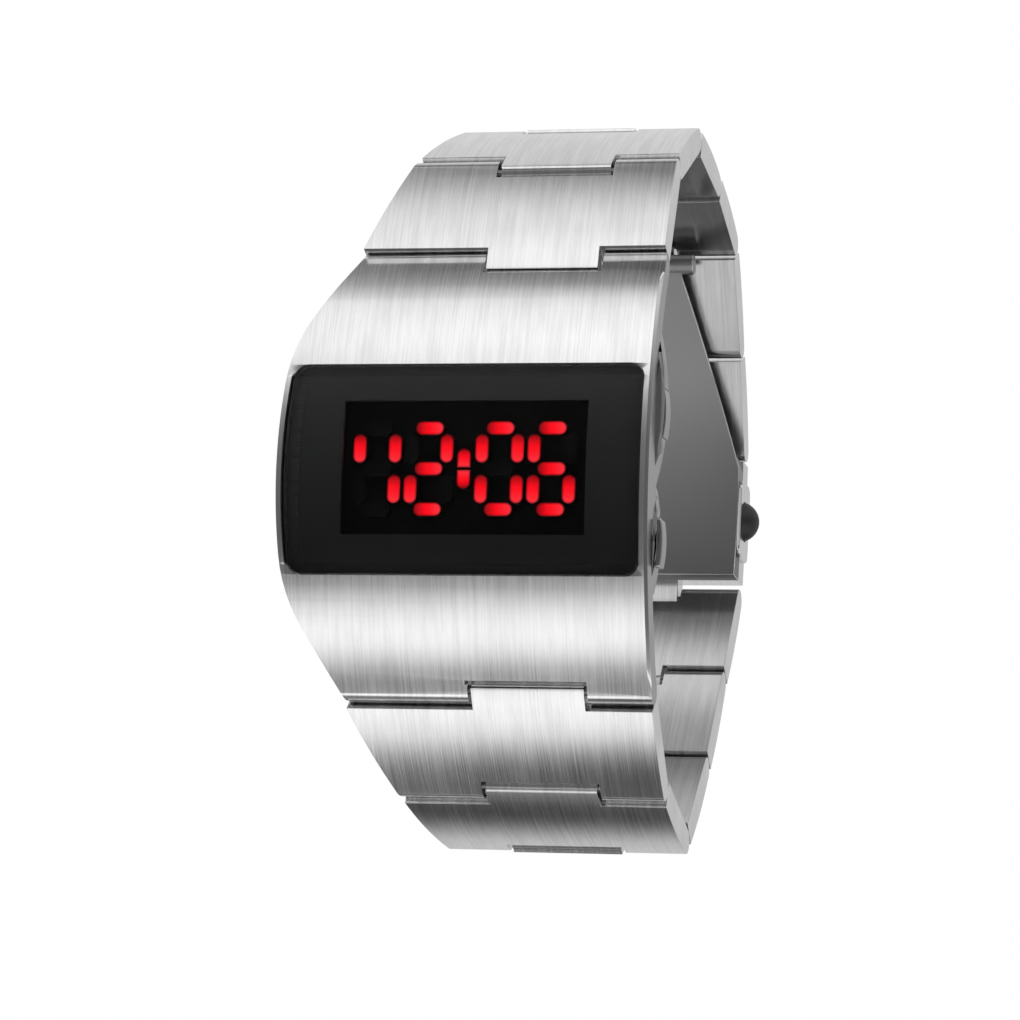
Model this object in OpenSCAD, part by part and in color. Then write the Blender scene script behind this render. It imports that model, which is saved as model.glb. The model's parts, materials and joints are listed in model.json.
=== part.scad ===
// LED wristwatch: an arched case bowed on its left, a straight right flank with two pushers,
// a bracelet of tabbed links and a fold-over clasp, closed into the loop that goes round a wrist.
// The origin is the middle of the loop. +Z points to twelve o'clock, the display faces -Y
// and the pushers stand on the +X flank. All lengths are millimetres.

/* [Case] */
// Width of the case across its middle
case_w = 39.5; // [38:0.5:44]
// Distance from the bracelet's centreline to the straight right flank
flank_x = 13.1; // [12.9:0.1:14]
// Width of the case where the bracelet joins it
end_w = 32.7; // [30:0.1:34]
// Distance from the middle of the loop to the crest of the case
crest = 32; // [30:0.5:36]
// Radius of the arched front
front_r = 50.5; // [46:0.5:56]
// Angle of the arch from the crest to a bracelet pin
arch = 27; // [26:0.25:29]
// Thickness of the case from the crest to its back
case_t = 10.2; // [9.8:0.1:11.5]
// Depth of the flat back along the case's flanks
band_t = 4.5; // [4.3:0.1:5]
// Wall of the deep middle outside the back plate
deep_wall = 0.6; // [0.5:0.1:0.8]
// Radius of the bowed left side
bow_r = 110; // [80:5:150]
// Slant of the left side above and below the bow
slant = 30; // [26:1:33]
// Radius between the bow and the slants
corner_r = 18; // [10:1:20]

/* [Crystal] */
// Distance from the sides of the case to the crystal
lens_margin = 0.95; // [0.8:0.05:1.4]
// Height of the crystal
lens_h = 22; // [20.5:0.5:22.5]
// Radius of the crystal's corners
lens_corner = 1.4; // [1.3:0.1:3]
// Thickness of the crystal
lens_t = 1.5; // [1.2:0.1:1.7]
// How far the crystal stands above the case
lens_proud = 0.3; // [0.1:0.05:0.5]
// Gap round the crystal in its pocket
lens_gap = 0.1; // [0.05:0.05:0.2]
// Width of the ledge that carries the crystal
ledge = 1.2; // [1:0.1:1.3]
// Thickness of the gasket under the crystal
lens_gasket_t = 0.3; // [0.2:0.05:0.4]

/* [Display] */
// Width of the window in the mask
window_w = 26; // [24:0.5:27]
// Height of the window in the mask
window_h = 14; // [12.5:0.5:15]
// Thickness of the mask
mask_t = 0.6; // [0.4:0.1:0.8]
// Depth of the circuit board's face below the crest
board_depth = 4; // [3.8:0.1:4.4]
// Thickness of the circuit board
board_t = 1.1; // [0.8:0.1:1.3]
// Distance between the middles of two digits of a pair
digit_pitch = 5.55; // [5.4:0.05:5.8]
// Distance between the middles of the second and third digits
colon_pitch = 7.55; // [7.2:0.05:7.8]
// Height of the display's middle above the middle of the case
display_z = 0.25; // [-0.5:0.05:0.5]
// Distance from a digit's middle to its upright bars
bar_x = 1.9; // [1.85:0.05:2.05]
// Distance from a digit's middle to the middles of its upright bars
bar_z = 2.12; // [2:0.02:2.3]
// Length of one bar
bar_l = 3; // [2.7:0.05:3.3]
// Width of one bar
bar_w = 1.4; // [1.2:0.05:1.6]
// Height of a bar above the board
bar_h = 1.3; // [1:0.1:1.5]

/* [Inside of the case] */
// Width of the room for the module
room_w = 30.8; // [30:0.2:31]
// Height of the room for the module
room_h = 22.6; // [22:0.2:23]
// Radius of the room's corners
room_r = 4; // [3:0.5:5]
// Gap between the module and the walls of its room
room_gap = 0.3; // [0.2:0.05:0.4]
// Room kept free beside the module for the pushers' ends
pusher_room = 1.8; // [1.6:0.1:2]
// Diameter of the button cell
cell_d = 20; // [16:0.5:20]
// Thickness of the button cell
cell_t = 1.6; // [1.4:0.1:1.8]
// Thickness of the spring strip over the cell
clip_t = 0.3; // [0.2:0.05:0.4]
// Thickness of the back plate
back_t = 1.2; // [1:0.1:1.4]
// How far the back plate reaches past the room on each side
back_lap = 2.2; // [2.1:0.1:2.4]
// Thickness of the gasket under the back plate
back_gasket_t = 0.4; // [0.3:0.05:0.6]
// Diameter of a back screw's shank
screw_d = 1.2; // [1:0.1:1.3]
// Diameter of a back screw's head
screw_head_d = 2.2; // [2:0.1:2.4]

/* [Pushers] */
// Length of a pusher along the flank
pusher_l = 5; // [4.5:0.1:5.5]
// Width of a pusher across the flank
pusher_w = 2.3; // [2.1:0.1:2.6]
// Height of the upper pusher above the middle of the case
pusher_up = 6.4; // [6.2:0.1:7]
// Depth of the lower pusher below the middle of the case
pusher_down = 7.1; // [6.8:0.1:7.4]
// How far a pusher stands out of the flank
pusher_proud = 0.8; // [0.6:0.05:0.9]
// Travel of a pusher
pusher_travel = 0.5; // [0.4:0.05:0.5]
// Diameter of a pusher's stem
stem_d = 1.8; // [1.4:0.1:2]
// Length of the upper pusher's crescent guard along the flank
guard_l = 13.2; // [11:0.2:14]
// How far the upper pusher's guard stands out of the flank
guard_rise = 0.65; // [0.5:0.05:0.7]
// Length of the lower pusher's crescent guard along the flank
small_guard_l = 8; // [7:0.2:9]
// How far the lower pusher's guard stands out of the flank
small_guard_rise = 0.3; // [0.2:0.05:0.5]
// Width of a guard behind the flank
guard_w = 1.8; // [1.6:0.1:2]

/* [Bracelet] */
// Thickness of a link
link_t = 2.7; // [2.5:0.1:2.9]
// Width of a link past the tapered ones
link_w = 26; // [25:0.1:26]
// Width of the bracelet at the first joint past the case
first_w = 28.3; // [27.5:0.1:30]
// Width of the tab on each link
tab_w = 12; // [11:0.1:13]
// Pin distance of the upper links and the first lower link
link_pitch = 12.2; // [11.8:0.1:12.4]
// Pin distance of the other lower links
long_pitch = 13.3; // [12.9:0.1:13.6]
// Rise of the crowned outer face of a link
crown = 0.45; // [0.2:0.05:0.6]
// Diameter of a link pin
pin_d = 1; // [0.8:0.05:1.2]
// Running clearance round a pin
pin_gap = 0.04; // [0.03:0.01:0.06]
// Gap between a tab and the notch round it
tab_gap = 0.15; // [0.1:0.01:0.2]
// Gap on each side of a tab in its notch
tab_side = 0.35; // [0.15:0.05:0.5]

/* [Clasp] */
// Thickness of the base blade
base_t = 0.9; // [0.8:0.05:1.1]
// Thickness of the fold blade
fold_t = 0.9; // [0.7:0.05:1]
// Gap between the two closed blades
blade_gap = 0.25; // [0.2:0.05:0.35]
// Gap between the fold blade and the links over it
under_gap = 0.35; // [0.3:0.05:0.5]
// Length of the fold blade from the fold pin to the bracelet pin
fold_l = 22; // [21:0.1:22.5]
// Width of the fold pin's barrel
barrel_w = 17.4; // [16:0.2:18]
// Width of the base blade beside the barrel
blade_end_w = 13.8; // [13:0.2:16]
// Width of the fold blade beside its knuckle
fold_end_w = 10; // [8:0.2:11]
// Distance from the upper bracelet pin to the start of the base blade's taper
taper_z = 3.2; // [2:0.2:5]
// Gap between the clasp's cover and the links at its ends
cover_gap = 0.8; // [0.3:0.1:1]
// Radius of the fold pin's knuckles
knuckle_r = 1.15; // [1.05:0.05:1.25]
// Width of the middle knuckle
knuckle_w = 5.8; // [5:0.2:7]
// Diameter of the domed buttons
dome_d = 4.5; // [4:0.1:4.6]
// Height of the domed buttons
dome_h = 1.75; // [1.4:0.05:1.9]
// Travel of a clasp button
button_travel = 0.7; // [0.5:0.1:0.8]
// Diameter of a clasp button's stem
button_stem_d = 1.4; // [1.2:0.1:1.6]
// Length of the plates on the clasp's flanks
plate_l = 9; // [8:0.5:10]
// Thickness of the plates on the clasp's flanks
plate_t = 0.4; // [0.3:0.05:0.5]

/* [Hidden] */
$fn = 200;
far = 60;
r = link_t / 2;
seat = r + tab_gap;
// a tab's end is set back a little from its outer face, and its outer edge reaches past the round
tab_sink = 0.025;
tab_nose = 1;
notch_w = tab_w + 2 * tab_side;
link_x = link_w / 2;

// case, seen from its side: y is the depth and z the height
crest_y = -crest;
arch_y = crest_y + front_r;
back_y = crest_y + case_t;
mid_r = front_r - r;
top_pin = [arch_y - mid_r * cos(arch), mid_r * sin(arch)];

// case, seen from its front: x is the width and z the height
left_x = flank_x - case_w;
mid_x = (left_x + flank_x) / 2;
end_z = top_pin[1] + seat * cos(arch);
slant_in = [cos(slant), -sin(slant)];
slant_dir = [-sin(slant), -cos(slant)];
slant_top = [flank_x - end_w, end_z];
bow_c = [left_x + bow_r, 0];
corner_from = slant_top + corner_r * slant_in - bow_c;
corner_run = -corner_from * slant_dir + sqrt(pow(corner_from * slant_dir, 2)
  - corner_from * corner_from + pow(bow_r - corner_r, 2));
corner_c = bow_c + corner_from + corner_run * slant_dir;
corner_a = atan2(corner_c[1], corner_c[0] - bow_c[0]);

// stack of pieces behind the crystal
lens_out = front_r + lens_proud;
lens_in = lens_out - lens_t;
lens_seat = lens_in - lens_gasket_t;
board_y = crest_y + board_depth;
board_back = board_y + board_t;
plate_y = back_y - back_t;
room_x1 = mid_x + room_w / 2;
module_x0 = mid_x - room_w / 2 + room_gap;
module_x1 = room_x1 - pusher_room;
cell_y = plate_y - clip_t;
cell_x = mid_x - 0.5;
band_y = crest_y + band_t;
deep_x = mid_x + room_w / 2 + back_lap + deep_wall;
display_x = mid_x - 0.25;
digit_x = [for (k = [-1.5, -0.5, 0.5, 1.5])
  display_x + k * digit_pitch + sign(k) * (colon_pitch - digit_pitch) / 2];
bar_places = [[0, 2 * bar_z, 1], [bar_x, bar_z, 0], [bar_x, -bar_z, 0], [0, -2 * bar_z, 1],
  [-bar_x, -bar_z, 0], [-bar_x, bar_z, 0], [0, 0, 1]];
lit = [[0, 1, 1, 0, 0, 1, 0], [1, 1, 0, 1, 1, 0, 1], [1, 1, 1, 1, 1, 1, 0], [1, 0, 1, 1, 1, 1, 1]];
screw_x = room_w / 2 + back_lap - 2;
screw_z = room_h / 2 + back_lap - 2;

// pushers
pusher_z = [pusher_up, -pusher_down];
slide_gap = 0.1;
pusher_y = band_y + slide_gap + pusher_w / 2;
pocket_d = pusher_travel + 0.6;
stem_gap = 0.05;
clip_w = 0.4;
clip_d = stem_d + 0.9;
// each guard's middle, its half length and its rise
guards = [[pusher_up + 0.9, guard_l / 2, guard_rise],
  [0.3 - pusher_down, small_guard_l / 2, small_guard_rise]];

// bracelet: the angle of each link from +Z towards +Y, and the pins between the links
upper_turn = [24, 61.5, 100.5, 111, 153, 158.5];
lower_turn = [40.2, 69.2, 129.8, 140.5, 141];
function upper_len(i) = link_pitch;
function lower_len(i) = i == 0 ? link_pitch : long_pitch;
function along(a) = [sin(a), cos(a)];
upper_pins = [for (i = 0, p = top_pin; i <= len(upper_turn);
  p = i < len(upper_turn) ? p + upper_len(i) * along(upper_turn[i]) : p, i = i + 1) p];
lower_pins = [for (i = 0, p = top_pin; i <= len(lower_turn);
  p = i < len(lower_turn) ? p + lower_len(i) * along(lower_turn[i]) : p, i = i + 1) p];
left_edge = [flank_x - end_w, link_x - first_w, -link_x];
function edge(i) = left_edge[min(i, 2)];

// clasp: its own frame starts at the last upper pin and runs down to the last lower pin
clasp_pin = upper_pins[len(upper_turn)];
last_pin = [lower_pins[len(lower_turn)][0], -lower_pins[len(lower_turn)][1]];
clasp_v = last_pin - clasp_pin;
clasp_l = norm(clasp_v);
clasp_a = atan2(clasp_v[0], clasp_v[1]);
cover_top = seat + 0.1;
cover_end = clasp_l - r - cover_gap;
cover_notch = cover_top + 3.4;
// the blades are arcs about one centre, laid under the middles of the last two links and the cover
blade_in = r + under_gap + fold_t + blade_gap + base_t / 2;
function inward(a) = [cos(a), -sin(a)];
function under(p, q, a) = (p + q) / 2 + blade_in * inward(a);
blade_p = under(upper_pins[4], upper_pins[5], upper_turn[4]);
blade_q = under(upper_pins[5], upper_pins[6], upper_turn[5]);
blade_s = under(clasp_pin, last_pin, clasp_a);
function circle_mid(a, b, c) = let (
  d = 2 * (a[0] * (b[1] - c[1]) + b[0] * (c[1] - a[1]) + c[0] * (a[1] - b[1])),
  x = ((a * a) * (b[1] - c[1]) + (b * b) * (c[1] - a[1]) + (c * c) * (a[1] - b[1])) / d,
  y = ((a * a) * (c[0] - b[0]) + (b * b) * (a[0] - c[0]) + (c * c) * (b[0] - a[0])) / d) [x, y];
blade_c = circle_mid(blade_p, blade_q, blade_s);
blade_r = norm(blade_p - blade_c);
base_in = blade_r - base_t / 2;
base_out = blade_r + base_t / 2;
fold_in = base_out + blade_gap;
fold_out = fold_in + fold_t;
hinge_r = (base_out + fold_in) / 2;
function polar(p) = atan2(p[1] - blade_c[1], p[0] - blade_c[0]);
clasp_polar = polar(clasp_pin);
hinge_a = clasp_polar + fold_l / hinge_r * 180 / PI;
hinge_pin = blade_c + hinge_r * [cos(hinge_a), sin(hinge_a)];
// heights and depths in the clasp's own frame
hinge_z = (hinge_pin - clasp_pin) * along(clasp_a);
base_y = blade_in + base_t / 2;
floor_y = 2.7;
plate_in = [-r - 0.15, base_y - 0.05];
dome_z = clasp_l / 2 - 0.15;
dome_y = (plate_in[0] + plate_in[1]) / 2;
dome_x = link_x + plate_t - 0.1;
ear_x = [4.4, 5.8];
ear_y = [1.6, 2.5];
ear_z = cover_notch - 0.4;
hook_x = [3, 4.1];
hook_y = [0.3, 2.3];
// the fold blade's lug points straight at the blades' centre
lug_turn = 180 - clasp_polar;
lug_y = norm(clasp_pin - blade_c) - fold_in - 0.3;
lug_z = [-0.9, r];
lug_bend = clasp_a - lug_turn + 360;
lug_end = lug_z[1] * cos(lug_bend) + lug_y * sin(lug_bend);
hook_z = [lug_end + 0.3, dome_z + 0.9];

// A flat outline of depth and height, drawn out along x
module along_x(w = 2 * far) {
  rotate([90, 0, 90]) linear_extrude(w, center = true) children();
}

// A flat outline of width and height, drawn out along y from y0 to y1
module through_y(y0 = -far, y1 = far) {
  translate([0, y1, 0]) rotate([90, 0, 0]) linear_extrude(y1 - y0) children();
}

// A pin or bore along x from x0 to x1
module rod(x0, x1, d) {
  translate([x0, 0, 0]) rotate([0, 90, 0]) cylinder(h = x1 - x0, d = d);
}

// A box between two corners
module box(a, b) {
  translate(a) cube(b - a);
}

// A rectangle with round corners between two corners
module round_box(a, b, radius) {
  translate([a[0] + radius, a[1]]) square([b[0] - a[0] - 2 * radius, b[1] - a[1]]);
  translate([a[0], a[1] + radius]) square([b[0] - a[0], b[1] - a[1] - 2 * radius]);
  for (x = [a[0] + radius, b[0] - radius], z = [a[1] + radius, b[1] - radius])
    translate([x, z]) circle(radius);
}

// Places a piece at a pin: its z runs along the link and its y into the loop
module at_pin(p, a) {
  translate([0, p[0], p[1]]) rotate([-a, 0, 0]) children();
}

module in_clasp() {
  at_pin(clasp_pin, clasp_a) children();
}

// Everything inside the arch's radius
module arch_disc(radius) {
  along_x() translate([arch_y, 0]) circle(radius);
}

// Side view of the case: the arched plate, its round ends and the flat back along the flanks
module case_side() {
  reach = far / cos(arch);
  intersection() {
    difference() {
      translate([arch_y, 0]) circle(front_r);
      translate([arch_y, 0]) circle(front_r - link_t);
    }
    polygon([[arch_y, 0], [arch_y, 0] + reach * [-cos(arch), sin(arch)],
      [arch_y, 0] - reach * [cos(arch), sin(arch)]]);
  }
  for (s = [-1, 1]) translate([top_pin[0], s * top_pin[1]]) circle(r);
  intersection() {
    translate([arch_y, 0]) circle(front_r);
    translate([crest_y - 1, -far / 2]) square([band_t + 1, far]);
  }
}

// Points on an arc about c from the angle a0 to the angle a1, with its ends or without them
function arc(c, radius, a0, a1, n, skip = 0) = [for (i = [skip:n - skip])
  c + radius * [cos(a0 + (a1 - a0) * i / n), sin(a0 + (a1 - a0) * i / n)]];
function flip(p) = [p[0], -p[1]];

// Front view of the case: a straight right flank and a bowed left side with slanted shoulders
function shoulder_x(z) = slant_top[0] + (z - slant_top[1]) * tan(slant);
module case_plan() {
  top = far / 2;
  polygon(concat([[flank_x, -top], [flank_x, top], [shoulder_x(top), top]],
    arc(corner_c, corner_r, 180 - slant, corner_a, 6),
    arc(bow_c, bow_r, corner_a, 360 - corner_a, 16, 1),
    arc(flip(corner_c), corner_r, 360 - corner_a, 180 + slant, 6),
    [[shoulder_x(top), -top]]));
}

// Front view of the crystal, grown or drawn in by a margin
module lens_plan(grow) {
  half = lens_h / 2 + grow;
  round = max(0.2, lens_corner + grow);
  bow = bow_r - lens_margin + grow;
  c0 = [bow_c[0] - sqrt(pow(bow - round, 2) - pow(half - round, 2)), half - round];
  c1 = [flank_x - lens_margin + grow - round, half - round];
  a0 = atan2(c0[1], c0[0] - bow_c[0]);
  polygon(concat(arc(flip(c1), round, 270, 360, 6), arc(c1, round, 0, 90, 6),
    arc(c0, round, 90, a0, 6), arc(bow_c, bow, a0, 360 - a0, 16, 1),
    arc(flip(c0), round, 360 - a0, 270, 6)));
}

module room_plan(grow) {
  round_box([mid_x - room_w / 2 - grow, -room_h / 2 - grow],
    [mid_x + room_w / 2 + grow, room_h / 2 + grow], room_r + grow);
}

module back_plan(grow) {
  round_box([mid_x - room_w / 2 - back_lap - grow, -room_h / 2 - back_lap - grow],
    [mid_x + room_w / 2 + back_lap + grow, room_h / 2 + back_lap + grow], 2 + grow);
}

module at_screws() {
  for (x = [-screw_x, screw_x], z = [-screw_z, screw_z]) translate([mid_x + x, 0, z]) children();
}

// A rod along y from y0 to y1
module post(y0, y1, d) {
  translate([0, y0, 0]) rotate([-90, 0, 0]) cylinder(h = y1 - y0, d = d);
}

module case_shell() {
  color("silver") difference() {
    union() {
      intersection() {
        along_x() case_side();
        through_y() case_plan();
      }
      through_y(band_y - 1, back_y) back_plan(deep_wall);
      for (g = guards) guard(g[0], g[1], g[2]);
    }
    // pocket, ledge and opening for the crystal
    difference() {
      through_y(-far, arch_y) lens_plan(lens_gap);
      arch_disc(lens_seat);
    }
    through_y(-far, board_y) lens_plan(-ledge);
    // room for the module, the seat of the back plate and its gasket groove
    through_y(board_y - 0.05, far / 2) room_plan(0);
    through_y(plate_y, far / 2) back_plan(0.1);
    through_y(plate_y - back_gasket_t, far / 2) difference() {
      room_plan(1.1);
      room_plan(0.5);
    }
    at_screws() post(plate_y - 2.4, plate_y + 1, screw_d);
    for (z = pusher_z) pusher_cuts(z);
    // notches for the bracelet's tabs and bores for its bars
    for (m = [0, 1]) mirror([0, 0, m]) at_pin(top_pin, arch) {
      box([-notch_w / 2, -far / 4, -seat], [notch_w / 2, far / 4, far / 4]);
      rod(-notch_w / 2 - 2, notch_w / 2 + 2, pin_d);
    }
  }
}

// A crescent guard: a ridge behind the flank that rises to a pusher and falls away past it
module guard(z, half, rise) {
  radius = (half * half + rise * rise) / (2 * rise);
  through_y(band_y - 0.5, band_y + guard_w) intersection() {
    translate([flank_x + rise - radius, z]) circle(radius);
    translate([deep_x - 0.3, z - half - 1.5]) square([far / 4, 2 * half + 3]);
  }
}

// The slot that a pusher slides in, the bore of its stem and the room of its clip
module pusher_cuts(z) {
  h = pusher_l / 2 + slide_gap;
  box([flank_x - pocket_d, band_y, z - h], [far / 2, band_y + 2 * pusher_w, z + h]);
  translate([0, pusher_y, z]) {
    rod(room_x1 - 1, flank_x, stem_d + 2 * stem_gap);
    rod(room_x1 - clip_w - pusher_travel - 0.2, room_x1, clip_d + 2 * slide_gap);
  }
}

module crystal() {
  color("black") intersection() {
    through_y(-far, arch_y) lens_plan(0);
    difference() {
      arch_disc(lens_out);
      arch_disc(lens_in);
    }
  }
}

module crystal_gasket() {
  color("dimgray") intersection() {
    through_y(-far, arch_y) difference() {
      lens_plan(0);
      lens_plan(-ledge);
    }
    difference() {
      arch_disc(lens_in);
      arch_disc(lens_seat);
    }
  }
}

module display_mask() {
  color([0.1, 0.1, 0.1]) intersection() {
    through_y(-far, arch_y) difference() {
      lens_plan(-ledge - 0.1);
      translate([mid_x, display_z]) square([window_w, window_h], center = true);
    }
    difference() {
      arch_disc(lens_in - 0.05);
      arch_disc(lens_in - 0.05 - mask_t);
    }
  }
}

// Front view of the module, which fits the room and leaves the pushers' ends free
module module_plan() {
  round_box([module_x0, -room_h / 2 + room_gap], [module_x1, room_h / 2 - room_gap],
    room_r - room_gap);
}

module led_board() {
  color("darkgreen") through_y(board_y, board_back) module_plan();
}

// One bar of a digit: a stretched round, upright or lying
module bar(place) {
  run = bar_l - bar_w;
  translate([place[0], place[1]]) rotate(place[2] * 90) {
    square([bar_w, run], center = true);
    for (s = [-1, 1]) translate([0, s * run / 2]) circle(d = bar_w);
  }
}

// The colon: an upright bar cut in two
module colon() {
  run = 2 * bar_z;
  difference() {
    union() {
      square([bar_w, run - bar_w], center = true);
      for (s = [-1, 1]) translate([0, s * (run - bar_w) / 2]) circle(d = bar_w);
    }
    square([bar_w + 1, 0.25], center = true);
  }
}

module led_bars_lit() {
  color("red") through_y(board_y - bar_h, board_y) {
    for (d = [0:3], b = [0:6]) if (lit[d][b] == 1)
      translate([digit_x[d], display_z]) bar(bar_places[b]);
    translate([display_x, display_z]) colon();
  }
}

module led_bars_unlit() {
  color([0.15, 0.05, 0.05]) through_y(board_y - bar_h, board_y)
    for (d = [0:3], b = [0:6]) if (lit[d][b] == 0)
      translate([digit_x[d], display_z]) bar(bar_places[b]);
}

module module_frame() {
  color([0.2, 0.2, 0.22]) difference() {
    through_y(board_back, cell_y) module_plan();
    translate([cell_x, 0, 0]) post(cell_y - cell_t, cell_y + 1, cell_d + 0.2);
  }
}

module cell() {
  color("lightgray") translate([cell_x, 0, 0]) {
    post(cell_y - cell_t, cell_y - 0.25, cell_d);
    post(cell_y - 0.25, cell_y, cell_d - 1.6);
  }
}

// The spring strip: a cross whose long arm reaches past the cell onto the frame
module cell_strip() {
  half = cell_d / 8;
  color("goldenrod") through_y(cell_y, plate_y) translate([cell_x, 0]) {
    round_box([-cell_d / 2 - 1.5, -half], [cell_d / 2 - 0.5, half], 1);
    round_box([-half, -0.4 * cell_d], [half, 0.4 * cell_d], 1);
  }
}

module back_gasket() {
  color("black") through_y(plate_y - back_gasket_t, plate_y) difference() {
    room_plan(1.1);
    room_plan(0.5);
  }
}

module case_back() {
  color("silver") difference() {
    through_y(plate_y, back_y) back_plan(0);
    at_screws() {
      post(plate_y - 1, back_y + 1, screw_d);
      post(back_y - 0.6, back_y + 1, screw_head_d);
    }
  }
}

module back_screws() {
  color("gray") at_screws() difference() {
    union() {
      post(plate_y - 2.2, back_y - 0.3, screw_d);
      post(back_y - 0.6, back_y, screw_head_d);
    }
    box([-0.2, back_y - 0.3, -2], [0.2, back_y + 1, 2]);
  }
}

// A pusher: a block with a crowned face on a stem that runs into the case
module pusher(z) {
  round = 14;
  h = pusher_l / 2;
  w = pusher_w / 2;
  color("silver") intersection() {
    union() {
      box([flank_x + pusher_travel - pocket_d, pusher_y - w, z - h], [far, pusher_y + w, z + h]);
      translate([0, pusher_y, z]) rod(room_x1 - 1.1, flank_x, stem_d);
    }
    through_y() translate([flank_x + pusher_proud - round, z]) circle(round);
  }
}

// The clip that keeps a pusher from coming out
module pusher_clip(z) {
  color("gray") translate([0, pusher_y, z]) difference() {
    rod(room_x1 - clip_w - 0.1, room_x1 - 0.1, clip_d);
    rod(0, far, stem_d);
  }
}

// Side view of a link: round ends, a flat inner face and a crowned outer face that runs on to
// the tab's edge
module link_side(l) {
  radius = (l * l / 4 + crown * crown) / (2 * crown);
  translate([tab_sink, 0]) circle(r - tab_sink);
  translate([0, l]) circle(r);
  translate([-r, 0]) square([2 * r, l]);
  intersection() {
    translate([radius - crown - r, l / 2]) circle(radius);
    translate([-r - crown, -tab_nose]) square([r + crown, l + tab_nose]);
  }
}

// A link: its tab is round the first pin, and its two cheeks hold the second
module link(l, x0, x1) {
  color("silver") difference() {
    intersection() {
      along_x() link_side(l);
      through_y() polygon([[x0, seat], [-tab_w / 2, seat], [-tab_w / 2, -far], [tab_w / 2, -far],
        [tab_w / 2, seat], [link_x, seat], [link_x, far], [notch_w / 2, far],
        [notch_w / 2, l - seat], [-notch_w / 2, l - seat], [-notch_w / 2, far], [x1, far],
        [x1, l + seat]]);
    }
    rod(-far, far, pin_d + 2 * pin_gap);
    translate([0, 0, l]) rod(-far, link_x - 1, pin_d);
  }
}

module upper_link(i) {
  at_pin(upper_pins[i - 1], upper_turn[i - 1]) link(upper_len(i - 1), edge(i - 1), edge(i));
}

module lower_link(i) {
  mirror([0, 0, 1]) at_pin(lower_pins[i - 1], lower_turn[i - 1])
    link(lower_len(i - 1), edge(i - 1), edge(i));
}

// A link pin, flush with the left cheek and blind in the right one
module link_pin(i) {
  color("gray") rod(edge(i) + 0.6, link_x - 1, pin_d);
}

module upper_pin(i) {
  at_pin(upper_pins[i], 0) link_pin(i);
}

module lower_pin(i) {
  mirror([0, 0, 1]) at_pin(lower_pins[i], 0) link_pin(i);
}

// The spring bar at twelve o'clock, its ends drawn in
module upper_bar_0() {
  color("gray") at_pin(top_pin, 0) rod(-tab_w / 2, tab_w / 2, pin_d);
}

module lower_bar_0() {
  color("gray") mirror([0, 0, 1]) at_pin(top_pin, 0) rod(-notch_w / 2 - 2, notch_w / 2 + 2, pin_d);
}

// Bores of the clasp buttons' stems and the room of their hooks, in the clasp's frame
module button_room() {
  sink = dome_x - button_travel - 0.1;
  translate([0, dome_y, dome_z]) {
    rod(-sink - 0.1, sink + 0.1, button_stem_d + 2 * stem_gap);
    rod(sink, link_x + 1, dome_d + 2 * stem_gap);
    rod(-link_x - 1, -sink, dome_d + 2 * stem_gap);
  }
  box([-hook_x[1] - 0.2, hook_y[0] - 0.2, cover_top + 1],
    [hook_x[1] + 0.2, hook_y[1] + 0.2, hook_z[1] + 0.2]);
}

// Room of the fold blade's ears, open to the outside
module ear_room() {
  box([-notch_w / 2, -far / 4, cover_top - 1], [notch_w / 2, floor_y, cover_notch]);
}

module clasp_cover() {
  color("silver") in_clasp() difference() {
    intersection() {
      along_x() link_side(clasp_l);
      through_y() polygon([[-link_x, cover_top], [link_x, cover_top], [link_x, cover_end],
        [tab_w / 2, cover_end], [tab_w / 2, far], [-tab_w / 2, far], [-tab_w / 2, cover_end],
        [-link_x, cover_end]]);
    }
    translate([0, 0, clasp_l]) rod(-far, far, pin_d + 2 * pin_gap);
    button_room();
    ear_room();
  }
}

// The part of a ring about the blades' centre between two angles
module blade_ring(inner, outer, a0, a1) {
  intersection() {
    translate(blade_c) difference() {
      circle(outer);
      circle(inner);
    }
    polygon([blade_c, blade_c + 2 * far * [cos(a0), sin(a0)],
      blade_c + 2 * far * [cos(a1), sin(a1)]]);
  }
}

// The base: a box behind the cover that runs into the long tapered blade and its knuckles
module clasp_base() {
  color("silver") difference() {
    intersection() {
      union() {
        along_x() blade_ring(base_in, base_out, polar(last_pin), hinge_a);
        difference() {
          in_clasp() box([-far, r, cover_top], [far, 2 * blade_in, cover_end]);
          along_x() translate(blade_c) circle(base_in);
        }
        at_pin(hinge_pin, 0) rod(-barrel_w / 2, barrel_w / 2, 2 * knuckle_r);
      }
      union() {
        in_clasp() through_y() polygon([[-link_x, cover_end], [-link_x, taper_z],
          [-blade_end_w / 2, hinge_z], [blade_end_w / 2, hinge_z], [link_x, taper_z],
          [link_x, cover_end]]);
        at_pin(hinge_pin, 0) rod(-barrel_w / 2, barrel_w / 2, 2 * knuckle_r);
      }
    }
    in_clasp() {
      button_room();
      ear_room();
    }
    // room of the fold blade's lug, down to the base blade
    difference() {
      in_clasp() box([-notch_w / 2, 0, cover_top - 1], [notch_w / 2, 2 * blade_in, lug_end + 0.4]);
      along_x() translate(blade_c) circle(base_out);
    }
    // room of the fold blade's knuckle, and the bore of the fold pin
    at_pin(hinge_pin, 0) {
      rod(-knuckle_w / 2 - tab_gap, knuckle_w / 2 + tab_gap, 2 * knuckle_r + 2 * tab_gap);
      rod(-far, far, pin_d);
    }
  }
}

module clasp_plates() {
  color("silver") in_clasp() for (m = [0, 1]) mirror([m, 0, 0]) difference() {
    translate([link_x + plate_t / 2, 0, 0]) along_x(plate_t)
      round_box([plate_in[0], dome_z - plate_l / 2], [plate_in[1], dome_z + plate_l / 2], 1.2);
    translate([0, dome_y, dome_z]) rod(0, far, dome_d + 2 * stem_gap);
  }
}

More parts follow.
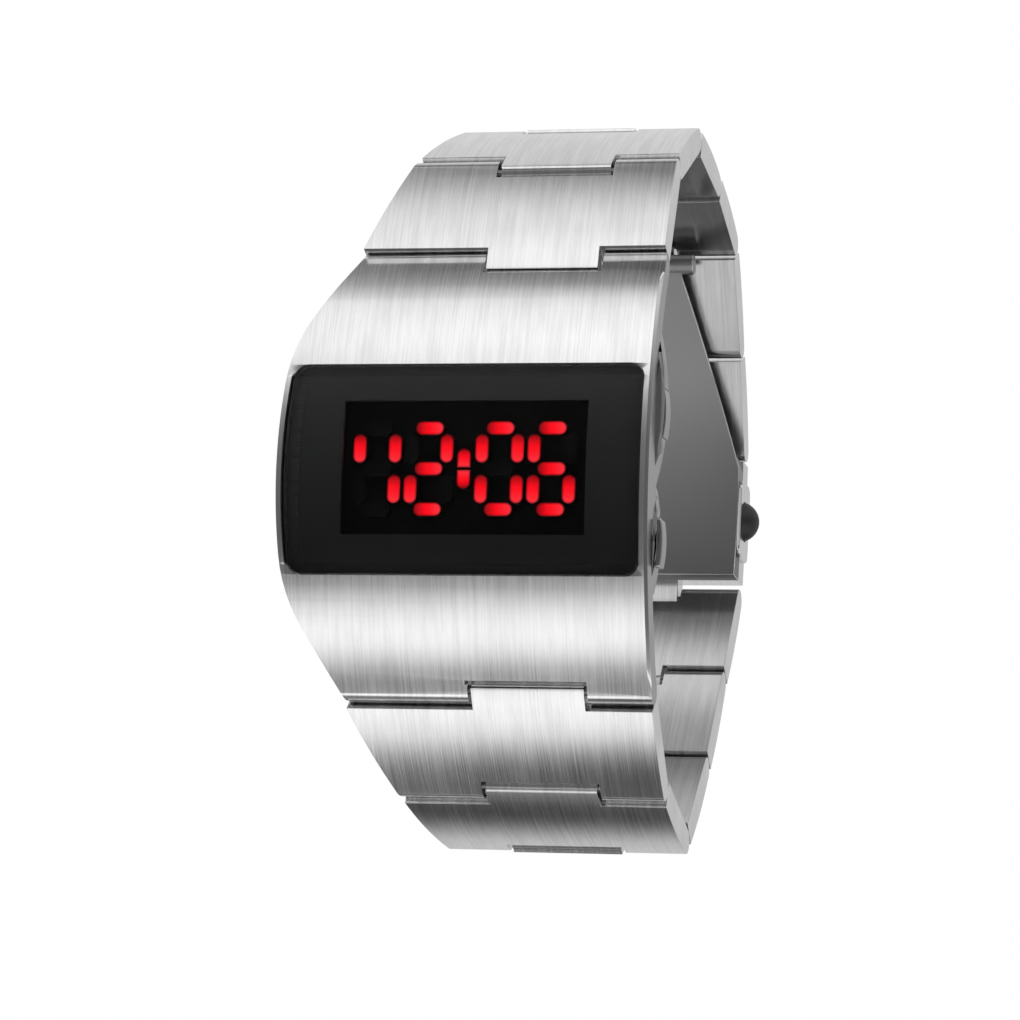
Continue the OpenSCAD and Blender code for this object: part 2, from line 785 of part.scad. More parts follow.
module fold_pin() {
  color("gray") at_pin(hinge_pin, 0) rod(-barrel_w / 2, barrel_w / 2, pin_d);
}

// The fold blade: a knuckle at the fold pin, a thin arc, and a barrel and two ears at the bracelet
module fold_blade() {
  half = tab_w / 2 - 0.1;
  color("silver") difference() {
    union() {
      intersection() {
        along_x(tab_w) blade_ring(fold_in, fold_out, clasp_polar, hinge_a);
        in_clasp() through_y() polygon([[-half, 2], [-half, 0], [-fold_end_w / 2, hinge_z],
          [fold_end_w / 2, hinge_z], [half, 0], [half, 2]]);
      }
      at_pin(hinge_pin, 0) rod(-knuckle_w / 2, knuckle_w / 2, 2 * knuckle_r);
      at_pin(clasp_pin, lug_turn) {
        rod(-tab_w / 2, tab_w / 2, 2 * r);
        box([-tab_w / 2, 0, lug_z[0]], [tab_w / 2, lug_y, lug_z[1]]);
      }
      in_clasp() for (m = [0, 1]) mirror([m, 0, 0])
        box([ear_x[0], ear_y[0], 0], [ear_x[1], ear_y[1], ear_z]);
    }
    in_clasp() rod(-far, far, pin_d + 2 * pin_gap);
    at_pin(hinge_pin, 0) {
      rod(-far, far, pin_d + 2 * pin_gap);
      for (m = [0, 1]) mirror([m, 0, 0])
        rod(knuckle_w / 2, far, 2 * knuckle_r + 2 * tab_gap);
    }
  }
}

// A clasp button: a dome, a stem, and a hook that reaches up between the ears
module clasp_button() {
  dome_r = (dome_d * dome_d / 4 + dome_h * dome_h) / (2 * dome_h);
  color([0.25, 0.25, 0.25]) in_clasp() {
    translate([0, dome_y, dome_z]) rotate([0, 90, 0]) rotate_extrude() {
      intersection() {
        translate([0, dome_x + dome_h - dome_r]) circle(dome_r);
        translate([0, dome_x]) square(2 * dome_d);
      }
      translate([0, hook_x[0] + 0.2]) square([button_stem_d / 2, dome_x - hook_x[0]]);
    }
    box([hook_x[0], hook_y[0], hook_z[0]], [hook_x[1], hook_y[1], hook_z[1]]);
  }
}

case_shell();
crystal();
crystal_gasket();
display_mask();
led_board();
led_bars_lit();
led_bars_unlit();
module_frame();
cell();
cell_strip();
back_gasket();
case_back();
back_screws();
pusher(pusher_z[0]);  // pusher_upper
pusher(pusher_z[1]);  // pusher_lower
pusher_clip(pusher_z[0]);  // pusher_upper_clip
pusher_clip(pusher_z[1]);  // pusher_lower_clip
upper_link(1);  // upper_link_1
upper_link(2);  // upper_link_2
upper_link(3);  // upper_link_3
upper_link(4);  // upper_link_4
upper_link(5);  // upper_link_5
upper_link(6);  // upper_link_6
lower_link(1);  // lower_link_1
lower_link(2);  // lower_link_2
lower_link(3);  // lower_link_3
lower_link(4);  // lower_link_4
lower_link(5);  // lower_link_5
upper_bar_0();
upper_pin(1);  // upper_pin_1
upper_pin(2);  // upper_pin_2
upper_pin(3);  // upper_pin_3
upper_pin(4);  // upper_pin_4
upper_pin(5);  // upper_pin_5
upper_pin(6);  // upper_pin_6
lower_bar_0();
lower_pin(1);  // lower_pin_1
lower_pin(2);  // lower_pin_2
lower_pin(3);  // lower_pin_3
lower_pin(4);  // lower_pin_4
lower_pin(5);  // lower_pin_5
clasp_cover();
clasp_base();
clasp_plates();
fold_pin();
fold_blade();
clasp_button();  // clasp_button_right
mirror([1, 0, 0]) clasp_button();  // clasp_button_left
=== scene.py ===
# %% [markdown]
# # A steel wristwatch with a red bar display
# The solids of the watch come from its construction file and are already in place. This lesson
# dresses them: it softens their edges, brushes and polishes the steel, tints the crystal and
# lights the red bars behind it, then sets up a small studio and a camera.

# %% Tools and the solids
import math
import json

import bmesh
import bpy
from mathutils import Matrix, Vector

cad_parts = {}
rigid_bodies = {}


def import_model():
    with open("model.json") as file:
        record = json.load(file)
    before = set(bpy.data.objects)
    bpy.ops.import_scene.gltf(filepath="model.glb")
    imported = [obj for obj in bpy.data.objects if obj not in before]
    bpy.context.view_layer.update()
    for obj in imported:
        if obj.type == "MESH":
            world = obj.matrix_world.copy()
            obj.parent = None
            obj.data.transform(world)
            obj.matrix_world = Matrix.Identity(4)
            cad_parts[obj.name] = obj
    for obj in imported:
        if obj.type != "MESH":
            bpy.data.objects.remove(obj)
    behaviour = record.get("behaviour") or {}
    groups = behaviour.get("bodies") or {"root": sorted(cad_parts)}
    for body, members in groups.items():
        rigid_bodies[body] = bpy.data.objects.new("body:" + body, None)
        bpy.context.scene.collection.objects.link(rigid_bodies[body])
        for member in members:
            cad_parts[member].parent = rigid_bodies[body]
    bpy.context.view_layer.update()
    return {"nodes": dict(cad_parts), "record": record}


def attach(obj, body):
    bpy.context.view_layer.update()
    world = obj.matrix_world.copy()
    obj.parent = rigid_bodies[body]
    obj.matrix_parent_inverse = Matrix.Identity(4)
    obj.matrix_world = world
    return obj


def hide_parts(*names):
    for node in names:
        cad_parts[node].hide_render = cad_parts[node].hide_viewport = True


for leftover in list(bpy.data.objects):
    bpy.data.objects.remove(leftover)
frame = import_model()
NODES = frame["nodes"]
BODY_OF = {node: body
           for body, nodes in frame["record"]["behaviour"]["bodies"].items() for node in nodes}
SLOT_OF = {part["node"]: part["material_slot"] for part in frame["record"]["subparts"]}
MM = 0.001

# %% [markdown]
# ## Shader maths as Python
# A finish is a small network of nodes. Writing `1 - mask` is easier to read than adding a Math
# node and two links, so a `Field` wraps one output of a node, and its operators add the nodes.

# %% Fields and node trees


class Field:
    """A number or colour that changes over a surface: one output of a node."""

    def __init__(self, tree, socket):
        self.tree, self.socket = tree, socket

    def math(self, operation, *values, clamp=False):
        settings = {"operation": operation, "use_clamp": clamp}
        return self.tree.add("ShaderNodeMath", settings, dict(enumerate(values)))

    def __add__(self, other):
        return self.math("ADD", self, other)

    __radd__ = __add__

    def __sub__(self, other):
        return self.math("SUBTRACT", self, other)

    def __rsub__(self, other):
        return self.math("SUBTRACT", other, self)

    def __mul__(self, other):
        return self.math("MULTIPLY", self, other)

    __rmul__ = __mul__

    def __truediv__(self, other):
        return self.math("DIVIDE", self, other)

    def abs(self):
        return self.math("ABSOLUTE", self)

    def step(self, low, high):
        """0 below low, 1 above high and a smooth rise between them."""
        settings = {"interpolation_type": "SMOOTHSTEP"}
        values = {"Value": self, "From Min": low, "From Max": high}
        return self.tree.add("ShaderNodeMapRange", settings, values)


class Tree:
    """The node tree of a material or of the world."""

    def __init__(self, owner):
        owner.use_nodes = True
        self.nodes, self.links = owner.node_tree.nodes, owner.node_tree.links
        self.nodes.clear()

    def add(self, kind, settings=None, values=None, output=0):
        """Adds a node: its settings first, then the values or links of its sockets."""
        node = self.nodes.new(kind)
        for name, value in (settings or {}).items():
            if name == "stops":
                ramp = node.color_ramp
                for place, colour in value[1:-1]:
                    ramp.elements.new(place)
                for element, (place, colour) in zip(ramp.elements, value):
                    element.position, element.color = place, colour
            else:
                setattr(node, name, value)
        for name, value in (values or {}).items():
            self.feed(node.inputs[name], value)
        return Field(self, node.outputs[output])

    def feed(self, socket, value):
        """Links a field to a socket, or sets the socket to a plain value."""
        if isinstance(value, Field):
            self.links.new(value.socket, socket)
        else:
            socket.default_value = value

    def noise(self, vector, scale, detail=2.0, roughness=0.5):
        values = {"Vector": vector, "Scale": scale, "Detail": detail, "Roughness": roughness}
        return self.add("ShaderNodeTexNoise", None, values)

    def mix(self, share, first, second):
        """A colour between two others. A mix node keeps its colours at sockets of their own."""
        node = self.nodes.new("ShaderNodeMix")
        node.data_type = "RGBA"
        for place, value in ((0, share), (6, first), (7, second)):
            self.feed(node.inputs[place], value)
        return Field(self, node.outputs[2])

    def stretched(self, x, y, z):
        """Object coordinates, with each axis scaled on its own."""
        place = self.add("ShaderNodeTexCoord", output="Object")
        return self.add("ShaderNodeMapping", None, {"Vector": place, "Scale": (x, y, z)})

    def finish(self, shader, kind="ShaderNodeOutputMaterial"):
        node = self.nodes.new(kind)
        self.links.new(shader.socket, node.inputs["Surface"])


def grey(level, alpha=1.0):
    return (level, level, level, alpha)


def new_material(name):
    material = bpy.data.materials.new(name)
    return material, Tree(material)


# %% [markdown]
# ## Brushed steel
# The case and the links are brushed along the bracelet. A brush leaves fine parallel scratches,
# and every face of these pieces runs straight across the watch, so lines of constant X are lines
# along the bracelet on all of them. A noise that changes fast along X and slowly along Y and Z
# draws them without a UV map. The side faces look along X, and get scratches along Z instead.
# The case's flanks look much darker than its front, so painted shade darkens their colour towards
# grey.

# %% Brushed steel


def brushed_steel(name, tone, roughness, depth, painted_flank_shade=0.0):
    material, tree = new_material(name)
    normal = tree.add("ShaderNodeTexCoord", output="Normal")
    across = tree.add("ShaderNodeSeparateXYZ", None, {"Vector": normal}, output="X")
    side = across.abs().step(0.6, 0.9)
    along = tree.noise(tree.stretched(5200, 45, 45), 1.0, 3.0)
    flank = tree.noise(tree.stretched(60, 5200, 70), 1.0, 3.0)
    lines = along * (1 - side) + flank * side
    strokes = tree.noise(tree.stretched(1300, 130, 130), 1.0, 3.0, 0.6)
    wear = tree.noise(tree.stretched(260, 160, 160), 1.0, 4.0, 0.6)
    marks = (lines * 0.4 + strokes * 0.35 + wear * 0.25).step(0.36, 0.64)
    colour = tree.mix(marks, grey(tone * 0.88), grey(min(1.0, tone * 1.07)))
    # Painted shade: the side faces' colour is mixed towards dark grey.
    if painted_flank_shade:
        colour = tree.mix(side * painted_flank_shade, colour, grey(0.1))
    bump = tree.add("ShaderNodeBump", None, {"Strength": depth, "Distance": 0.03 * MM,
                                             "Height": lines * 0.7 + strokes * 0.5})
    steel = {"Base Color": colour, "Metallic": 1.0, "Normal": bump,
             "Roughness": roughness + lines * 0.08 + wear * 0.05 - 0.06}
    tree.finish(tree.add("ShaderNodeBsdfPrincipled", None, steel))
    return material


# The case's steel takes its last number as its share of painted shade on the flanks.
FINISH = {
    "case_steel": brushed_steel("case_steel", 0.74, 0.19, 0.35, 0.75),
    "link_steel": brushed_steel("link_steel", 0.72, 0.20, 0.35),
    "cell_steel": brushed_steel("cell_steel", 0.70, 0.30, 0.2),
    "pin_steel": brushed_steel("pin_steel", 0.40, 0.34, 0.2),
}
print("brushed finishes:", sorted(FINISH))

# %% [markdown]
# ## Satin steel
# The clasp's plate and blade are pressed from sheet with a satin face, duller and darker than
# the links. Fine wipe marks and a slow change of roughness keep such a sheet from looking flat.
# Painted shade darkens the blade's colour towards its foot, where it stands deeper in the loop's
# shade.

# %% Satin steel
BLADE_TOP = 20 * MM
BLADE_FOOT = -10 * MM


def satin_steel(name, tone, roughness, painted_foot_shade=0.0):
    """Satin steel. With a share of painted shade, its colour darkens from the blade's top to its
    foot.
    """
    material, tree = new_material(name)
    wipes = tree.noise(tree.stretched(700, 90, 90), 1.0, 4.0, 0.6)
    haze = tree.noise(tree.stretched(120, 120, 120), 1.0, 3.0)
    colour = tree.mix(haze, grey(tone * 0.95), grey(tone))
    # Painted shade: the colour is mixed towards black lower down the blade.
    if painted_foot_shade:
        place = tree.add("ShaderNodeTexCoord", output="Object")
        height = tree.add("ShaderNodeSeparateXYZ", None, {"Vector": place}, output="Z")
        depth = 1 - height.step(BLADE_FOOT, BLADE_TOP)
        colour = tree.mix(depth * painted_foot_shade, colour, grey(0.0))
    bump = tree.add("ShaderNodeBump", None,
                    {"Strength": 0.12, "Distance": 0.02 * MM, "Height": wipes})
    tree.finish(tree.add("ShaderNodeBsdfPrincipled", None, {
        "Base Color": colour, "Metallic": 1.0, "Normal": bump,
        "Roughness": roughness + haze * 0.06 + wipes * 0.03}))
    return material


# The plate and blade get painted shade towards the blade's foot, at the share given last.
FINISH["polished_steel"] = satin_steel("polished_steel", 0.35, 0.36, 0.6)
FINISH["contact_brass"] = satin_steel("contact_brass", 0.6, 0.3)
FINISH["button_dark"] = satin_steel("button_dark", 0.07, 0.5)
# A much brighter steel for the rounded edges of polished pieces: partly a polished edge, partly a
# painted highlight.
EDGE_HIGHLIGHT_STEEL = satin_steel("edge_highlight_steel", 0.95, 0.2)
print("finishes so far:", len(FINISH))

# %% [markdown]
# ## The crystal
# The crystal is smoked and has a coat against glare, so the red bars shine through it and the
# room hardly shows in it. A low index of refraction stands in for that coat, because how much a
# clear surface reflects follows from its index.

# %% Tinted crystal


def tinted_crystal(name, tint, roughness, index):
    material, tree = new_material(name)
    film = tree.noise(tree.stretched(90, 90, 90), 1.0, 3.0)
    tree.finish(tree.add("ShaderNodeBsdfPrincipled", None, {
        "Base Color": tree.mix(film, (tint * 0.96, tint * 0.96, tint, 1), grey(tint)),
        "Transmission Weight": 1.0, "IOR": index, "Roughness": roughness + film * 0.01}))
    return material


FINISH["lens_black"] = tinted_crystal("lens_black", 0.72, 0.01, 1.13)
LENS_RIM = tinted_crystal("lens_rim", 0.3, 0.12, 1.52)
print("finishes so far:", len(FINISH))

# %% [markdown]
# ## Moulded and soft parts
# Plastic and rubber are told apart by their surface: a fine grain and a soft sheen on the
# plastic, a dull coarse one on the seals.

# %% Plastics and seals


def moulded(name, colour, roughness, grain):
    material, tree = new_material(name)
    speckle = tree.noise(tree.stretched(4000, 4000, 4000), 1.0, 3.0)
    cloud = tree.noise(tree.stretched(150, 150, 150), 1.0, 2.0)
    darker = tuple(0.8 * c for c in colour) + (1.0,)
    bump = tree.add("ShaderNodeBump", None,
                    {"Strength": grain, "Distance": 0.02 * MM, "Height": speckle})
    tree.finish(tree.add("ShaderNodeBsdfPrincipled", None, {
        "Base Color": tree.mix(cloud, darker, tuple(colour) + (1.0,)),
        "Roughness": roughness + speckle * 0.1, "Normal": bump}))
    return material


FINISH["board_green"] = moulded("board_green", (0.002, 0.0022, 0.002), 0.9, 0.1)
FINISH["frame_grey"] = moulded("frame_grey", (0.1, 0.1, 0.11), 0.55, 0.3)
FINISH["led_dark"] = moulded("led_dark", (0.002, 0.0018, 0.0018), 0.9, 0.1)


PAINTED_REFLECTION_FADE = 20 * MM


def black_with_painted_reflection(name, upper, lower, roughness):
    """Printed black with a painted reflection: lighter at the top of the display, deepening to its
    foot.
    """
    material, tree = new_material(name)
    place = tree.add("ShaderNodeTexCoord", output="Object")
    height = tree.add("ShaderNodeSeparateXYZ", None, {"Vector": place}, output="Z")
    cloud = tree.noise(tree.stretched(150, 150, 150), 1.0, 2.0)
    # Painted reflection: the share of the lighter black falls from the top of the display to its
    # foot.
    share = height / PAINTED_REFLECTION_FADE + 0.46 + cloud * 0.04
    tree.finish(tree.add("ShaderNodeBsdfPrincipled", None, {
        "Base Color": tree.mix(share.math("MULTIPLY", share, 1.0, clamp=True), grey(lower),
                               grey(upper)),
        "Roughness": roughness + cloud * 0.05}))
    return material


# The mask and the seal are black, with the same painted reflection.
FINISH["mask_black"] = black_with_painted_reflection("mask_black", 0.068, 0.006, 0.55)
FINISH["seal_black"] = black_with_painted_reflection("seal_black", 0.066, 0.006, 0.6)
print("finishes so far:", len(FINISH))

# %% [markdown]
# ## Lit bars
# The diode sits at one end of each bar, so a bar is brightest there and fades to deep red at its
# other end and along its rim. The bars get a UV map for this: its first number runs from the
# dark end to the bright one, and its second one rises from the rim to the middle.

# %% Lit bars


def lit_bars(name, dim, red, hot, strength):
    material, tree = new_material(name)
    place = tree.add("ShaderNodeUVMap", {"uv_map": "glow"})
    along = tree.add("ShaderNodeSeparateXYZ", None, {"Vector": place}, output="X")
    inside = tree.add("ShaderNodeSeparateXYZ", None, {"Vector": place}, output="Y")
    colour = tree.mix(along.step(-0.05, 0.5), dim, red)
    colour = tree.mix(along.step(0.45, 1.05), colour, hot)
    colour = tree.mix(inside.step(-0.3, 0.9), (0.0, 0.0, 0.0, 1), colour)
    tree.finish(tree.add("ShaderNodeBsdfPrincipled", None, {
        "Base Color": (0.004, 0.001, 0.001, 1), "Roughness": 0.8, "Emission Color": colour,
        "Emission Strength": strength}))
    return material


FINISH["led_red"] = lit_bars("led_red", (0.22, 0.0, 0.001, 1), (1.0, 0.0, 0.008, 1),
                             (1.0, 0.03, 0.045, 1), 1.35)

# %% [markdown]
# ## Softened edges
# No real edge is perfectly sharp: a small round catches the light and draws a bright line.
# A solid arrives as loose triangles, so each shown piece is a copy that is merged, cleared of the
# lines inside its flat faces, and bevelled where two faces meet at a clear angle.

# %% Dressing the solids


def merged(node):
    """A copy of a solid's mesh, its triangles joined and the lines in its flat faces gone."""
    shape = bmesh.new()
    shape.from_mesh(NODES[node].data)
    bmesh.ops.remove_doubles(shape, verts=shape.verts, dist=0.0005 * MM)
    bmesh.ops.dissolve_limit(shape, angle_limit=math.radians(0.2), use_dissolve_boundaries=False,
                             verts=shape.verts, edges=shape.edges, delimit={"NORMAL"})
    return shape


def bevelled(shape, edges, width, segments, clamp=True):
    """Rounds edges off and returns the new faces."""
    result = bmesh.ops.bevel(shape, geom=edges, offset=width, offset_type="OFFSET",
                             segments=segments, profile=0.5, affect="EDGES",
                             clamp_overlap=clamp, material=-1, loop_slide=True)
    return result["faces"]


def clear_edges(shape, sharp=32.0):
    """The edges where two faces meet at a clear angle."""
    return [e for e in shape.edges
            if e.is_manifold and e.calc_face_angle(0.0) > math.radians(sharp)]


def shown(node, shape):
    """Puts a finished shape in the scene in place of its solid."""
    for face in shape.faces:
        face.smooth = True
    mesh = bpy.data.meshes.new(node + "_piece")
    shape.to_mesh(mesh)
    shape.free()
    mesh.set_sharp_from_angle(angle=math.radians(28))
    piece = bpy.data.objects.new(node + "_piece", mesh)
    bpy.context.scene.collection.objects.link(piece)
    piece.data.materials.append(FINISH[SLOT_OF[node]])
    weighted = piece.modifiers.new("weighted_normals", "WEIGHTED_NORMAL")
    weighted.mode, weighted.weight, weighted.keep_sharp = "FACE_AREA", 60, True
    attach(piece, BODY_OF[node])
    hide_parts(node)
    return piece


# How wide each piece's rounded edges are, in millimetres
EDGE = {"clasp_base": 0.3, "clasp_cover": 0.12, "clasp_plates": 0.06,
        "fold_blade": 0.15, "pusher_upper": 0.12, "pusher_lower": 0.12, "case_back": 0.1}
EDGE.update({node: 0.12 for node in NODES if "_link_" in node})
for node, width in EDGE.items():
    shape = merged(node)
    edge_faces = bevelled(shape, clear_edges(shape), width * MM, 2)
    # Polished pieces get the bright steel on their rounded edges: partly a polished edge, partly a
    # painted highlight.
    painted_edge_highlight = SLOT_OF[node] == "polished_steel"
    for face in edge_faces:
        face.material_index = int(painted_edge_highlight)
    piece = shown(node, shape)
    if painted_edge_highlight:
        piece.data.materials.append(EDGE_HIGHLIGHT_STEEL)
print("softened pieces:", len(EDGE))

# %% [markdown]
# ## The case
# The case has two more things than soft edges. A flat chamfer runs down the edge between its
# front and its right flank, and draws the dark line that splits the two. And its upper end rolls
# off a little before it meets the first link: its front is drawn back there, and the steel between
# the front and the pin's hole is drawn back with it, less and less towards the hole.

# %% The case
ROLL_START = 17.8 * MM
ROLL_EASE = 2.4 * MM
ROLL_SLOPE = math.tan(math.radians(11.5))
CHAMFER = 0.32 * MM
CASE_EDGE = 0.06 * MM
FRONT_RADIUS = 50.5 * MM
PIN_DEPTH = 0.8 * MM
FRONT_REACH = -27 * MM


def roll_off(height):
    """How far the front is drawn back at a height."""
    past = max(0.0, height - ROLL_START)
    eased = min(past, ROLL_EASE)
    return ROLL_SLOPE * (eased * eased / (2 * ROLL_EASE) + past - eased)


shape = merged("case_shell")
crest = min(vert.co.y for vert in shape.verts)
for vert in shape.verts:
    front = crest + FRONT_RADIUS - math.sqrt(FRONT_RADIUS ** 2 - vert.co.z ** 2)
    share = max(0.0, 1.0 - max(0.0, vert.co.y - front) / PIN_DEPTH)
    vert.co.y += roll_off(vert.co.z) * share
shape.normal_update()
flank_edges = [e for e in clear_edges(shape)
               if max(f.normal.x for f in e.link_faces) > 0.95
               and min(f.normal.y for f in e.link_faces) < -0.7
               and min(v.co.y for v in e.verts) < FRONT_REACH]
print("flank edges:", len(flank_edges))
bevelled(shape, flank_edges, CHAMFER, 1, clamp=False)
bevelled(shape, clear_edges(shape, 60.0), CASE_EDGE, 2)
shown("case_shell", shape)

# %% [markdown]
# ## The display
# The mask behind the crystal reaches out to the gasket, as its print does. The coat against
# glare ends at the crystal's rounded rim, which is bare glass and catches a thin line of light.
# Each lit bar gets a rim by an inset, and its UV map for the glow.

# %% The display
MASK_REACH = 0.1 * MM
CRYSTAL_RIM = 0.3 * MM
BAR_RIM = 0.3 * MM
COLON_BAR = 2.4 * MM
COLON_MIDDLE = 0.4 * MM
shape = merged("display_mask")
middle = sum((vert.co for vert in shape.verts), Vector()) / len(shape.verts)
for vert in shape.verts:
    outward = Vector((vert.normal.x, 0, vert.normal.z))
    if outward.dot(vert.co - middle) > 0:
        vert.co += outward.normalized() * MASK_REACH
shown("display_mask", shape)

shape = merged("crystal")
for face in bevelled(shape, clear_edges(shape, 50.0), CRYSTAL_RIM, 4):
    face.material_index = 1
shown("crystal", shape).data.materials.append(LENS_RIM)


def touching(shape):
    """The faces of a shape in groups that hang together."""
    left = set(shape.faces)
    while left:
        group, queue = [], [left.pop()]
        while queue:
            face = queue.pop()
            group.append(face)
            near = {other for edge in face.edges for other in edge.link_faces} & left
            left -= near
            queue += near
        yield group


shape = merged("led_bars_lit")
fronts = [face for face in shape.faces if face.normal.y < -0.9]
bmesh.ops.inset_individual(shape, faces=fronts, thickness=BAR_RIM, use_even_offset=True)
inner = {vert for face in fronts for vert in face.verts}
glow = shape.loops.layers.uv.new("glow")
groups = list(touching(shape))
for group in groups:
    xs = [vert.co.x for face in group for vert in face.verts]
    zs = [vert.co.z for face in group for vert in face.verts]
    width, height = max(xs) - min(xs), max(zs) - min(zs)
    colon_foot = width < height < COLON_BAR and max(zs) < COLON_MIDDLE
    for face in group:
        for loop in face.loops:
            if width > height:
                along = (loop.vert.co.x - min(xs)) / width
            elif colon_foot:
                along = (loop.vert.co.z - min(zs)) / height
            else:
                along = (max(zs) - loop.vert.co.z) / height
            rim = 0.0 if loop.face.normal.y < -0.9 else -1.0
            loop[glow].uv = (along, 1.0 if loop.vert in inner else rim)
print("lit bars:", len(groups))
shown("led_bars_lit", shape)

# %% [markdown]
# ## The other solids
# Pins, seals and what lies inside the case keep their own meshes, and only get their finishes.

# %% The other solids
plain = [node for node in NODES if not bpy.data.objects.get(node + "_piece")]
for node in plain:
    NODES[node].data.materials.clear()
    NODES[node].data.materials.append(FINISH[SLOT_OF[node]])
print("plain solids:", len(plain))

# %% [markdown]
# ## The studio
# Steel shows what stands round it. In front of the watch the room is dark, with a bright band
# above and a bright band below, and behind it stands a pale wall. These bands give the case its
# bright shoulders and its darker ends. The camera sees plain white, and a dull surface is lit
# evenly from all sides.

# %% World


def band_stops(bands):
    """Colour stops from pairs of elevation in degrees and brightness."""
    return [(0.5 + 0.5 * math.sin(math.radians(angle)), grey(level)) for angle, level in bands]


FRONT_BANDS = [(-90, 0.05), (-79, 0.03), (-75, 0.05), (-72, 0.3), (-67, 1.15), (-62, 1.3),
               (-53, 1.6), (-49, 0.5), (-46, 0.08), (-42, 0.16), (-39, 0.75), (-34, 1.45),
               (-27, 1.3), (-23, 0.85), (-19, 0.2), (-14, 0.14), (14, 0.16), (24, 0.3), (34, 1.0),
               (40, 1.15), (48, 1.0), (54, 1.1), (58, 1.0), (62, 0.78), (68, 0.4), (74, 0.08),
               (90, 0.05)]
REAR_BANDS = [(-90, 0.1), (-66, 0.35), (-60, 0.3), (-56, 0.04), (-52, 0.02), (-47, 0.06),
              (-40, 0.5), (-34, 0.75), (0, 0.62), (10, 0.62), (32, 0.8), (60, 0.8), (90, 0.5)]

world = bpy.data.worlds.new("studio")
bpy.context.scene.world = world
sky = Tree(world)
direction = sky.add("ShaderNodeTexCoord", output="Generated")
depth = sky.add("ShaderNodeSeparateXYZ", None, {"Vector": direction}, output="Y")
height = sky.add("ShaderNodeSeparateXYZ", None, {"Vector": direction}, output="Z")
front = sky.add("ShaderNodeValToRGB", {"stops": band_stops(FRONT_BANDS)},
                {"Fac": height * 0.5 + 0.5})
rear = sky.add("ShaderNodeValToRGB", {"stops": band_stops(REAR_BANDS)},
               {"Fac": height * 0.5 + 0.5})
room = sky.mix(depth.step(-0.15, 0.25), front, rear)
camera_ray = sky.add("ShaderNodeLightPath", output="Is Camera Ray")
diffuse_ray = sky.add("ShaderNodeLightPath", output="Is Diffuse Ray")
room = sky.mix(diffuse_ray, room, grey(0.85))
room = sky.mix(camera_ray, room, grey(1.0))
sky.finish(sky.add("ShaderNodeBackground", None, {"Color": room, "Strength": 1.0}),
           "ShaderNodeOutputWorld")

# %% [markdown]
# ## Floor and lamp
# The watch floats in white, as if worn, so the floor lies well below it and only takes a faint
# shadow. A soft lamp from above the display gives the edges a direction, and two small cards
# inside the loop brighten the inner faces that only see each other.

# %% Floor and lamp
FLOOR_REACH = 3.0
FLOOR_DROP = 0.7
floor_shape = bmesh.new()
bmesh.ops.create_grid(floor_shape, x_segments=1, y_segments=1, size=FLOOR_REACH)
bmesh.ops.translate(floor_shape, verts=floor_shape.verts, vec=(0, 0, -FLOOR_DROP))
floor_mesh = bpy.data.meshes.new("floor")
floor_shape.to_mesh(floor_mesh)
floor_shape.free()
floor = bpy.data.objects.new("floor", floor_mesh)
bpy.context.scene.collection.objects.link(floor)
floor_material, tree = new_material("floor_white")
seen = tree.add("ShaderNodeLightPath", output="Is Camera Ray")
paper = tree.add("ShaderNodeBsdfPrincipled", None, {"Base Color": grey(0.85), "Roughness": 0.9})
glow = tree.add("ShaderNodeEmission", None, {"Color": grey(1.0), "Strength": 1.0})
mixed = tree.add("ShaderNodeMixShader", None, {0: seen, 1: paper, 2: glow})
tree.finish(mixed)
floor.data.materials.append(floor_material)
floor.visible_glossy = False


def softbox(name, place, size, power):
    """A square lamp that looks at the watch."""
    lamp = bpy.data.lights.new(name, "AREA")
    lamp.size, lamp.energy = size, power
    thing = bpy.data.objects.new(name, lamp)
    thing.location = place
    thing.rotation_euler = (Vector((0, 0, 0)) - Vector(place)).to_track_quat("-Z", "Y").to_euler()
    bpy.context.scene.collection.objects.link(thing)


softbox("softbox_above", (-0.15, -0.95, 0.8), 0.45, 0.15)


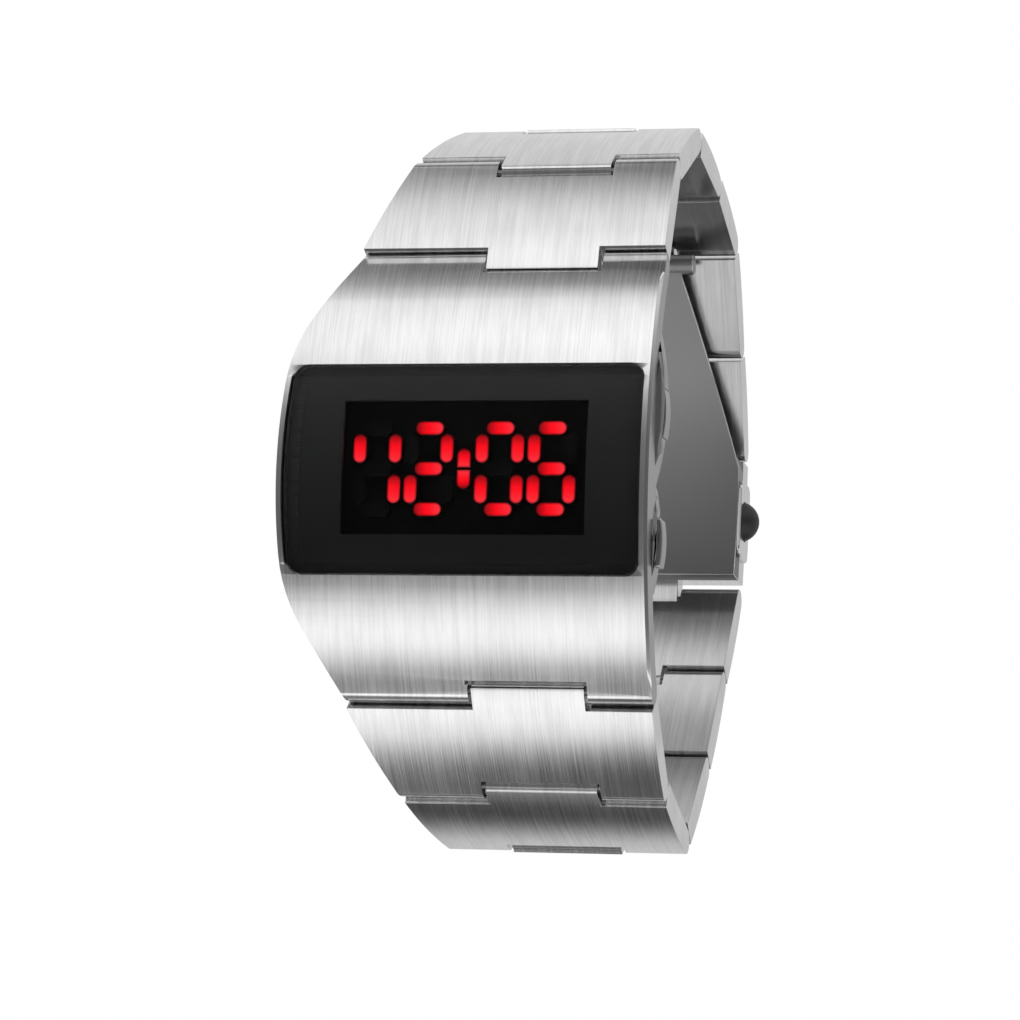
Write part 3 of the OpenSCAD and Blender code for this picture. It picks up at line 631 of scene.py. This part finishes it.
def card(name, place, facing, size, power):
    """A glowing card inside the loop, which the camera doesn't see and the steel reflects."""
    lamp = bpy.data.lights.new(name, "AREA")
    lamp.shape, lamp.size, lamp.size_y, lamp.energy = "RECTANGLE", size[0], size[1], power
    thing = bpy.data.objects.new(name, lamp)
    thing.location = place
    thing.rotation_euler = Vector(facing).to_track_quat("-Z", "Z").to_euler()
    thing.visible_camera = False
    bpy.context.scene.collection.objects.link(thing)


card("card_behind_case", (-6 * MM, -17.5 * MM, -3 * MM), (0, 1, 0), (30 * MM, 50 * MM), 0.0017)
card("card_under_top", (-4 * MM, 9.5 * MM, 20 * MM), (0, 0, -1), (30 * MM, 7.5 * MM), 0.0004)

# %% [markdown]
# ## The camera
# The photograph was taken with a long lens from slightly below and slightly to the right of the
# display. The numbers are the fitted distance, directions and lens, and the small shift puts the
# watch where the photograph has it. The lens and the shift are given in the photograph's pixels.

# %% Camera
AIM = Vector((0, -26 * MM, 0))
DISTANCE = 430.5 * MM
AZIMUTH, ELEVATION, ROLL = (math.radians(a) for a in (13.35, -8.32, 1.99))
SENSOR = 36
PHOTO_WIDTH = 1020
FOCAL_PIXELS = 4137
SHIFT_PIXELS = (-26, -34)
back = Vector((math.sin(AZIMUTH) * math.cos(ELEVATION),
               -math.cos(AZIMUTH) * math.cos(ELEVATION), math.sin(ELEVATION)))
right = Vector((math.cos(AZIMUTH), math.sin(AZIMUTH), 0))
up = back.cross(right)
turned_right = right * math.cos(ROLL) + up * math.sin(ROLL)
turned_up = up * math.cos(ROLL) - right * math.sin(ROLL)
lens = bpy.data.cameras.new("camera")
lens.sensor_width = SENSOR
lens.lens = SENSOR * FOCAL_PIXELS / PHOTO_WIDTH
lens.shift_x, lens.shift_y = (pixels / PHOTO_WIDTH for pixels in SHIFT_PIXELS)
camera = bpy.data.objects.new("camera", lens)
bpy.context.scene.collection.objects.link(camera)
turn = Matrix((turned_right, turned_up, back)).transposed()
camera.matrix_world = Matrix.Translation(AIM + back * DISTANCE) @ turn.to_4x4()
bpy.context.scene.camera = camera
bpy.context.scene.view_settings.view_transform = "Standard"
print("camera at", [round(c / MM) for c in camera.matrix_world.translation], "mm")
